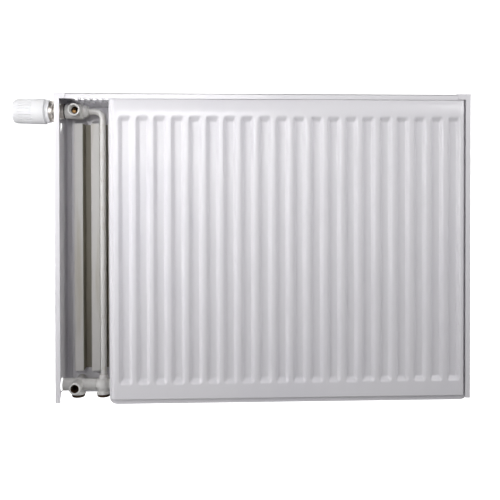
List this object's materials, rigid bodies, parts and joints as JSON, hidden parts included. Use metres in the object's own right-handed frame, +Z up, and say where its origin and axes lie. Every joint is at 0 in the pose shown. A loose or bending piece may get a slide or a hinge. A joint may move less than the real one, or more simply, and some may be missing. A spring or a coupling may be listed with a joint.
{
  "type": "panel radiator",
  "caption": "Steel panel radiator with fluted pressed panels, folded convectors, top grille, side covers and a built-in valve with a thermostatic head at the upper left end.",
  "frame": {"origin": "centre of the four hanger lugs, in the plane of their wall-side faces", "axes": "+X to the right seen from the room, +Y towards the wall, +Z up"},
  "size_m": [0.8966, 0.116, 0.6],
  "materials": {
    "enamel": "baked white enamel, satin",
    "fin_coat": "thin grey-white primer, matt",
    "pipe_enamel": "white enamel over welded and drawn parts, satin",
    "brass": "turned",
    "nickel": "nickel plated, satin",
    "spring_steel": "bright drawn",
    "seal_rubber": "matt",
    "white_plastic": "fine moulded, satin",
    "grey_plastic": "moulded",
    "sensor_copper": "drawn copper"
  },
  "bodies": {
    "root": {"front_panel_outer_sheet": "enamel", "front_panel_inner_sheet": "enamel", "rear_panel_inner_sheet": "enamel", "rear_panel_outer_sheet": "enamel", "top_grille": "enamel", "side_cover_left": "enamel", "side_cover_right": "enamel", "hanger_lug_lower_left": "enamel", "hanger_lug_lower_right": "enamel", "hanger_lug_upper_left": "enamel", "hanger_lug_upper_right": "enamel", "front_convector": "fin_coat", "rear_convector": "fin_coat", "valve_housing": "pipe_enamel", "compression_ring": "pipe_enamel", "riser_pipe": "pipe_enamel", "return_tee": "pipe_enamel", "supply_hub": "pipe_enamel", "cross_tube": "pipe_enamel", "return_nipple": "pipe_enamel", "supply_nipple": "pipe_enamel", "top_right_tee": "pipe_enamel", "bottom_right_tee": "pipe_enamel", "valve_insert": "brass", "gland_nut": "brass", "blind_plug": "nickel", "bleed_plug": "nickel", "valve_spring": "spring_steel", "grille_clips": "spring_steel", "stem_seal": "seal_rubber", "insert_seal": "seal_rubber", "plug_seals": "seal_rubber", "head_base": "white_plastic"},
    "handle": {"handle_shell": "white_plastic", "handle_cap": "white_plastic"},
    "sensor": {"sensor_capsule": "sensor_copper", "sensor_carrier": "grey_plastic", "sensor_plunger": "grey_plastic"},
    "valve_stem": {"valve_pin": "brass", "valve_disc": "seal_rubber"},
    "presetting": {"presetting_ring": "grey_plastic"},
    "coupling_nut": {"union_nut": "nickel"},
    "bleed_screw": {"bleed_screw": "brass"},
    "bleed_spout": {"bleed_spout": "white_plastic"}
  },
  "joints": [
    {"name": "handle_turn", "type": "hinge", "parent": "root", "child": "handle", "pos_m": [-0.45, -0.066, 0.27], "axis": [1, 0, 0], "range_deg": [-110, 160]},
    {"name": "sensor_slide", "type": "slide", "parent": "root", "child": "sensor", "axis": [1, 0, 0], "range_m": [-0.0013, 0.0018]},
    {"name": "stem_slide", "type": "slide", "parent": "root", "child": "valve_stem", "axis": [1, 0, 0], "range_m": [-0.0013, 0.0018], "deforming": ["valve_spring"]},
    {"name": "presetting_turn", "type": "hinge", "parent": "root", "child": "presetting", "pos_m": [-0.43, -0.066, 0.27], "axis": [1, 0, 0], "range_deg": [0, 280]},
    {"name": "coupling_nut_turn", "type": "hinge", "parent": "root", "child": "coupling_nut", "pos_m": [-0.43, -0.066, 0.27], "axis": [1, 0, 0], "continuous": true},
    {"name": "bleed_screw_turn", "type": "hinge", "parent": "root", "child": "bleed_screw", "pos_m": [0.396, -0.066, 0.27], "axis": [1, 0, 0], "range_deg": [-360, 0]},
    {"name": "bleed_spout_turn", "type": "hinge", "parent": "root", "child": "bleed_spout", "pos_m": [0.396, -0.066, 0.27], "axis": [1, 0, 0], "continuous": true}
  ],
  "couplings": [
    {"joint": "sensor_slide", "follows": "handle_turn", "m_per_rad": 0.00063662},
    {"joint": "stem_slide", "follows": "handle_turn", "m_per_rad": 0.00063662}
  ]
}
